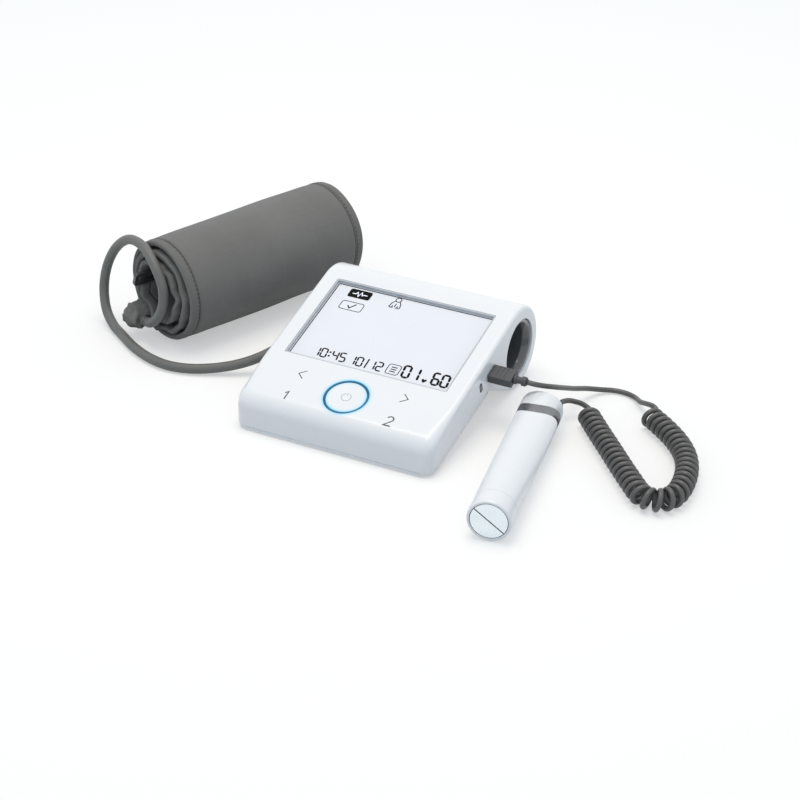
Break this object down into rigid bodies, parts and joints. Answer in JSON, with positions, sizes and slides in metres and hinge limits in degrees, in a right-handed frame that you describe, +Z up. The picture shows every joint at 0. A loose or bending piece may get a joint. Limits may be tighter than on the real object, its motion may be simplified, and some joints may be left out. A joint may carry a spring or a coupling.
{
  "type": "blood pressure monitor",
  "caption": "Upper-arm blood pressure monitor: wedge housing with a lit display and round start button, rolled cuff on an air hose, and an ECG stick on a curly cord.",
  "frame": {"origin": "middle of the front foot's flat underside, which rests on the table", "axes": "+X to the monitor's right, +Y to its rear, +Z up"},
  "size_m": [0.4825, 0.2951, 0.0787],
  "materials": {
    "white_housing": "glossy white moulded plastic",
    "dark_rubber": "matt dark grey",
    "cord_jacket": "satin dark grey jacket",
    "hose_rubber": "satin grey",
    "bladder_rubber": "matt",
    "cuff_fabric": "woven nylon, grey",
    "bar_metal": "black coated wire frame",
    "grey_plastic": "smooth grey",
    "gasket": "dark edge of the display opening",
    "display_glass": "pale lit display window",
    "light_guide": "lit diffuser",
    "black_plastic": "matt black",
    "ring_lens": "blue lit ring lens",
    "circuit_board": "green board",
    "inner_plastic": "natural plastic",
    "clear_tube": "silicone tube",
    "pump_metal": "plated can",
    "band_metal": "dark chromed band",
    "electrode_steel": "electrode plate",
    "bright_steel": "bright plated steel",
    "cell_wrap": "plain dark label wrap",
    "pad_copper": "copper"
  },
  "bodies": {
    "monitor": {"upper_housing": "white_housing", "base_shell": "white_housing", "front_foot": "dark_rubber", "rear_foot_left": "dark_rubber", "rear_foot_right": "dark_rubber", "battery_1": "cell_wrap", "battery_2": "cell_wrap", "battery_3": "cell_wrap", "battery_4": "cell_wrap", "contact_left_outer": "bright_steel", "contact_left_inner": "bright_steel", "contact_right_inner": "bright_steel", "contact_right_outer": "bright_steel", "case_screw_1": "bright_steel", "case_screw_2": "bright_steel", "case_screw_3": "bright_steel", "case_screw_4": "bright_steel", "display_gasket": "gasket", "lcd_panel": "display_glass", "backlight_panel": "light_guide", "display_carrier": "black_plastic", "ring_light": "ring_lens", "start_switch": "black_plastic", "main_board": "circuit_board", "touch_pad_memory_1": "pad_copper", "touch_pad_memory_2": "pad_copper", "touch_pad_back": "pad_copper", "touch_pad_forward": "pad_copper", "exhaust_valve": "inner_plastic", "pressure_sensor": "inner_plastic", "air_pump": "pump_metal", "air_socket": "grey_plastic", "air_tube": "clear_tube", "storage_liner": "grey_plastic", "plug_socket": "bright_steel", "slot_switch": "black_plastic"},
    "start_button": {"start_button": "white_housing"},
    "battery_door": {"battery_door": "white_housing"},
    "air_line": {"cuff_band": "cuff_fabric", "cuff_bladder": "bladder_rubber", "cuff_bar": "bar_metal", "hose_port": "grey_plastic", "hose": "hose_rubber", "air_plug": "grey_plastic"},
    "ecg_stick": {"stick_body": "white_housing", "stick_end_cap": "white_housing", "end_electrode_left": "electrode_steel", "end_electrode_right": "electrode_steel", "finger_band": "band_metal", "saddle_cap": "white_housing", "saddle_electrode": "electrode_steel", "stick_board": "circuit_board", "stick_cord_boot": "dark_rubber", "stick_lead": "cord_jacket", "curly_cord": "cord_jacket", "plug_lead": "cord_jacket", "plug_boot": "dark_rubber", "plug_moulding": "dark_rubber", "plug_shell": "bright_steel"}
  },
  "joints": [
    {"name": "start_press", "type": "slide", "parent": "monitor", "child": "start_button", "axis": [0, 0.2639, -0.9646], "range_m": [0, 0.0006], "stiffness_N_per_m": 1500},
    {"name": "battery_door_tilt", "type": "hinge", "parent": "monitor", "child": "battery_door", "pos_m": [0, 0.03907, 0.01273], "axis": [-1, 0, 0], "range_deg": [0, 32]},
    {"name": "air_plug_pull", "type": "slide", "parent": "monitor", "child": "air_line", "axis": [-1, 0, 0], "range_m": [0, 0.012]},
    {"name": "ecg_plug_pull", "type": "slide", "parent": "monitor", "child": "ecg_stick", "axis": [1, 0, 0], "range_m": [0, 0.009]}
  ]
}
